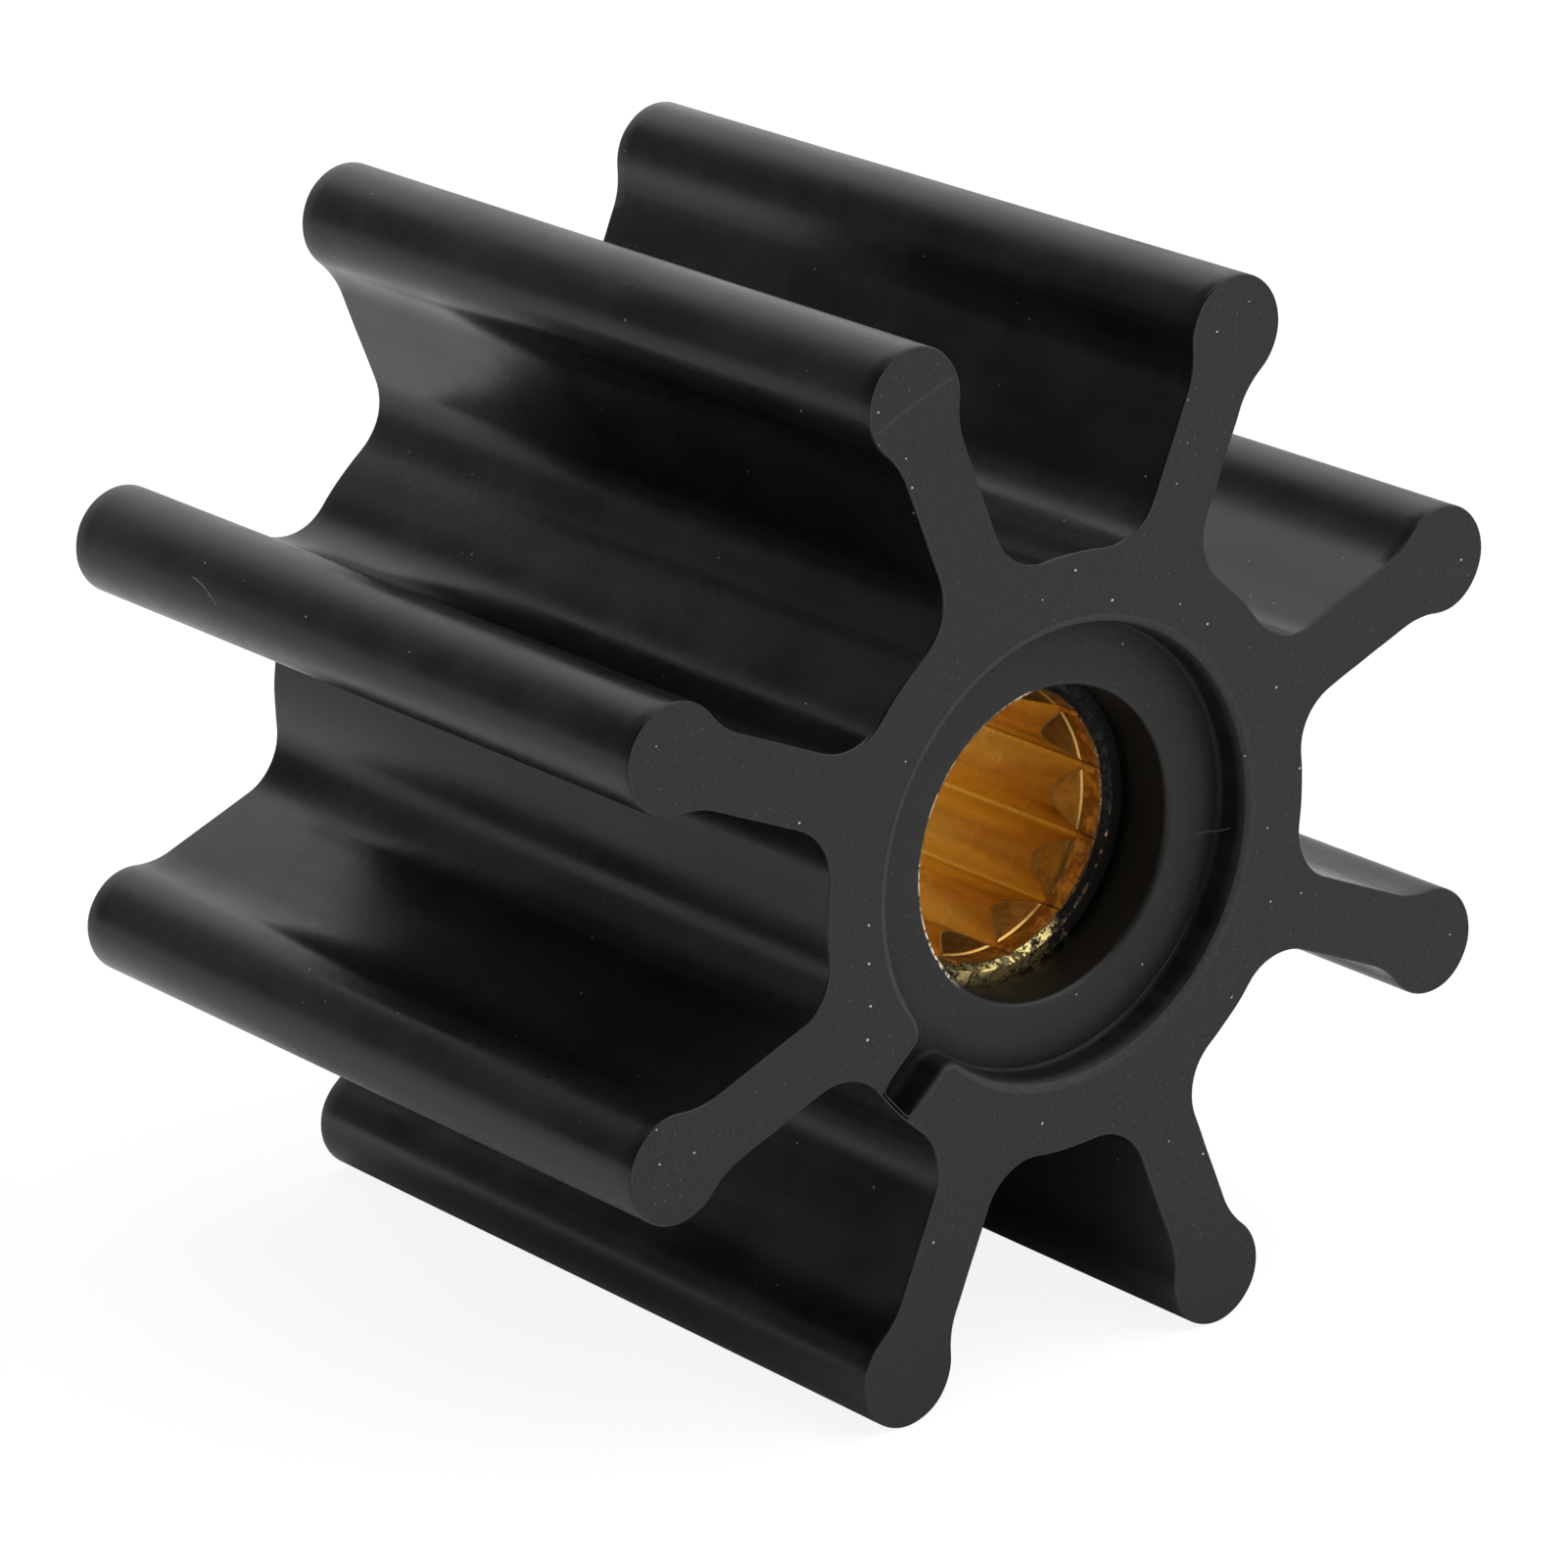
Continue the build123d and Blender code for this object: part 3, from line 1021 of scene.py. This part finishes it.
def brass():
    """Broached and turned brass: pale in the grooves, brown on the teeth towards each mouth, with
    a painted reflection on the lead-in and a painted highlight on the cut edges, bare and pitted
    low on its end, and elsewhere there under a thin rubber film, which over the chamfer is painted
    dark."""
    material, tree, shader = principled("brass")
    radius, depth, height = insert_place(tree)
    broach = grain(tree, 2200, 3, 0.6, (1, 0.03, 1))
    tarnish = grain(tree, 260, 5, 0.65)
    blotch = grain(tree, 1300, 4, 0.7)

    # The broached hole, where the teeth are brown from a radius that changes with the depth
    groove_tone = blended(tree, spread(tree, broach, 0, 1), *GROOVE_BRASS)
    groove_start = millimetres(tree, depth, 7.65 * MM, 7.05 * MM, 2.0, 9.0)
    uneven = combined(tree, "ADD", radius, spread(tree, tarnish, -0.15 * MM, 0.15 * MM))
    past_groove = combined(tree, "SUBTRACT", uneven, groove_start)
    on_teeth = millimetres(tree, past_groove, 1, 0, -0.2, 0.2)
    colour = blended(tree, on_teeth, groove_tone, TOOTH_BRASS)

    # The cone that cuts the teeth across, with duller edges that carry a painted highlight
    normal = add(tree, "ShaderNodeTexCoord").outputs["Normal"]
    along = add(tree, "ShaderNodeSeparateXYZ", {"Vector": normal}).outputs["Y"]
    slant = combined(tree, "ABSOLUTE", along, 0)
    inside = millimetres(tree, depth, 0, 1, 0.5, 0.6)
    cut = product(tree, between(tree, slant, 0, 1, 0.04, 0.16), inside)
    cut_tone = blended(tree, between(tree, blotch, 0, 1, 0.42, 0.66), *CUT_BRASS)
    colour = blended(tree, cut, colour, cut_tone)
    # Painted highlight: the edges are painted paler where they would reflect the dark room
    edge = product(tree, between(tree, slant, 0, 1, 0.02, 0.08),
                   between(tree, slant, 1, 0, 0.28, 0.36), inside)
    colour = blended(tree, product(tree, edge, 0.8), colour, EDGE_HIGHLIGHT_BRASS)

    # The lead-in, mottled brown and dark as a painted reflection, and the step at its end
    lead_in = along_stretch(tree, depth, *LEAD_IN_STRETCH)
    painted_reflection = between(tree, grain(tree, 900, 4, 0.7), 0, 1, 0.42, 0.58)
    colour = blended(tree, lead_in, colour, blended(tree, painted_reflection, *LEAD_IN_REFLECTION_BRASS))
    step = along_stretch(tree, depth, *STEP_STRETCH)
    colour = blended(tree, step, colour, STEP_BRASS)

    # The end with its chamfer, bare and pitted at the bottom
    mouth = millimetres(tree, depth, 1, 0, MOUTH_CHAMFER, 0.55)
    pitted = between(tree, grain(tree, 2600, 4, 0.75), 0, 0.9, 0.50, 0.58)
    low = between(tree, height, 1, 0, -0.8, -0.6)
    bare = blended(tree, low, *END_BRASS)
    bare = blended(tree, product(tree, pitted, low), bare, PIT)
    colour = blended(tree, mouth, colour, bare)

    # The film, which is no metal and over the chamfer is painted dark, and how rough and how
    # uneven all this is
    # The film mask, which over the chamfer is a painted dark reflection
    film = film_and_painted_dark_cover(tree, radius, depth, height)
    colour = blended(tree, film, colour, FILM_AND_PAINTED_DARK)
    tree.links.new(between(tree, film, 1.0, 0.0), shader.inputs["Metallic"])
    wear_and_glint = product(tree, largest(tree, cut, lead_in), 0.34)
    rough = largest(tree, spread(tree, tarnish, 0.18, 0.30), wear_and_glint, product(tree, edge, 0.6),
                    product(tree, film, 0.35))
    pits = product(tree, pitted, mouth)
    layers = [(broach, 0.01), (tarnish, 0.01), (blotch, 0.012), (pits, -0.04), (film, 0.03)]
    wired(tree, shader, colour, rough, layers)
    tree.links.new(between(tree, film, 0.5, 0.2), shader.inputs["Specular IOR Level"])
    return material


# Stage, light and camera

def seen_directly(tree):
    """1 for rays that show the background: from the camera, or by way of gloss or glass."""
    path = add(tree, "ShaderNodeLightPath").outputs
    return largest(tree, path["Is Camera Ray"], path["Is Glossy Ray"], path["Is Transmission Ray"])


def backdrop_tone(tree, direction):
    """What gloss shows of the studio: a white backdrop that dims to its right end, and a dark
    room in front of it."""
    towards = facing(tree, direction, BACKDROP)
    room = between(tree, towards, 0.02, 0.10, -0.8, 0.1)
    edge = {"Value": towards, "From Min": 0.18, "From Max": 0.34, "To Min": 0.0, "To Max": 1.0}
    backdrop = add(tree, "ShaderNodeMapRange", edge, interpolation_type="SMOOTHSTEP")
    right_end = between(tree, facing(tree, direction, (1, 0, 0)), 1.0, 0.6, 0.6, 0.72)
    return largest(tree, room, product(tree, backdrop.outputs["Result"], right_end))


def floor_material():
    """Pale floor: white to the camera with a light shadow, and in gloss darker further left."""
    material, tree, shader = principled("floor")
    path = add(tree, "ShaderNodeLightPath").outputs
    coordinates = add(tree, "ShaderNodeTexCoord").outputs["Object"]
    direction, distance = direction_and_length(tree, coordinates)
    by_side = between(tree, facing(tree, direction, BRIGHT_SIDE), 0.72, 1.0, -0.9, 0.3)
    in_gloss = largest(tree, by_side, between(tree, distance, 1.0, 0.7, 0.07, 0.12))
    to_camera = between(tree, path["Is Camera Ray"], 1.0, LIT_SHARE)
    share = product(tree, to_camera, between(tree, path["Is Glossy Ray"], 1.0, in_gloss))
    pale = blended(tree, grain(tree, 6, 2, 0.5), grey(0.86), grey(0.89))
    tree.links.new(blended(tree, share, grey(0.0), pale), shader.inputs["Base Color"])
    shader.inputs["Roughness"].default_value = 0.9
    shader.inputs["Specular IOR Level"].default_value = 0.1
    shader.inputs["Emission Color"].default_value = (1, 1, 1, 1)
    seen = product(tree, path["Is Camera Ray"], FLOOR_GLOW)
    backdrop = product(tree, path["Is Glossy Ray"], backdrop_tone(tree, direction))
    past_object = between(tree, distance, 0.0, 0.3, 0.04, 0.055)
    lift = combined(tree, "ADD", seen, product(tree, backdrop, past_object))
    tree.links.new(lift, shader.inputs["Emission Strength"])
    return material


def stage():
    """A wide pale floor under the two vane tips that the part stands on."""
    level = cad_box[0].z - FLOOR_GAP * MM
    mesh = bpy.data.meshes.new("floor")
    signs = ((-1, -1), (1, -1), (1, 1), (-1, 1))
    corners = [(x * HALF_FLOOR, y * HALF_FLOOR, level) for x, y in signs]
    mesh.from_pydata(corners, [], [(0, 1, 2, 3)])
    mesh.materials.append(floor_material())
    floor = bpy.data.objects.new("floor", mesh)
    bpy.context.scene.collection.objects.link(floor)


def light(name, place_at, size, power):
    """A large soft lamp that points at the part. Its place and size are in metres."""
    data = bpy.data.lights.new(name, "AREA")
    data.shape = "DISK"
    data.size = size
    data.energy = power
    lamp = bpy.data.objects.new(name, data)
    lamp.location = place_at
    lamp.rotation_euler = (-Vector(place_at)).to_track_quat("-Z", "Y").to_euler()
    bpy.context.scene.collection.objects.link(lamp)


def world(soft_light):
    """White for the camera, the studio for gloss, and an even soft light on the object."""
    made = bpy.data.worlds.new("studio")
    made.use_nodes = True
    tree = made.node_tree
    tree.nodes.clear()
    soft = add(tree, "ShaderNodeBackground", {"Color": (1, 1, 1, 1), "Strength": soft_light})
    direction = add(tree, "ShaderNodeTexCoord").outputs["Generated"]
    in_gloss = add(tree, "ShaderNodeLightPath").outputs["Is Glossy Ray"]
    tone = between(tree, in_gloss, 1.0, backdrop_tone(tree, direction))
    white = add(tree, "ShaderNodeBackground", {"Color": (1, 1, 1, 1), "Strength": tone})
    seen = seen_directly(tree)
    mix = add(tree, "ShaderNodeMixShader", {0: seen, 1: soft.outputs[0], 2: white.outputs[0]})
    add(tree, "ShaderNodeOutputWorld", {"Surface": mix.outputs[0]})
    bpy.context.scene.world = made


def camera():
    """The photograph's view."""
    data = bpy.data.cameras.new("camera")
    data.sensor_width = 36.0
    data.lens = CAMERA_LENS
    data.clip_start = 0.01
    data.clip_end = 20
    eye = Vector(CAMERA_PLACE) * MM
    forward = Vector(BACKDROP).normalized()
    right = Vector(CAMERA_RIGHT)
    right = (right - forward * right.dot(forward)).normalized()
    up = right.cross(forward)
    made = bpy.data.objects.new("camera", data)
    made.matrix_world = Matrix((
        (right.x, up.x, -forward.x, eye.x),
        (right.y, up.y, -forward.y, eye.y),
        (right.z, up.z, -forward.z, eye.z),
        (0, 0, 0, 1),
    ))
    bpy.context.scene.collection.objects.link(made)
    bpy.context.scene.camera = made


def main():
    """Makes the two pieces with their marks, the studio and the camera."""
    rubber_body([
        matt_rubber("matt_rubber", grey(0.011), grey(0.025)),
        side_rubber(),
        passage_rubber(),
        # The recess wall, and painted shade on the slot floor
        wall_rubber(),
        # Paler rubber: a painted highlight on the turned lip; it also gives one vane its paler
        # witness line
        matt_rubber("lip_rubber", grey(0.022), grey(0.040)),
        rim_rubber(),
        # The recess floor, with painted shade towards its wall
        matt_rubber("floor_rubber", grey(0.011), grey(0.025), painted_shade_radii=PAINTED_FLOOR_SHADE),
        flash_rubber(),
    ])
    mould_mark(pale_rubber("raised_rubber", grey(0.03), grey(0.06)))
    lint_fibre(pale_rubber("pale_lint", grey(0.10), grey(0.16)))
    splined_insert([brass()])
    stage()
    world(soft_light=0.45)
    light("key", (0.4, -0.33, 0.62), size=1.05, power=4.9)
    light("top", (-0.2, 0.1, 1.0), size=0.6, power=1.2)
    camera()
    bpy.context.scene.view_settings.view_transform = "Standard"


main()
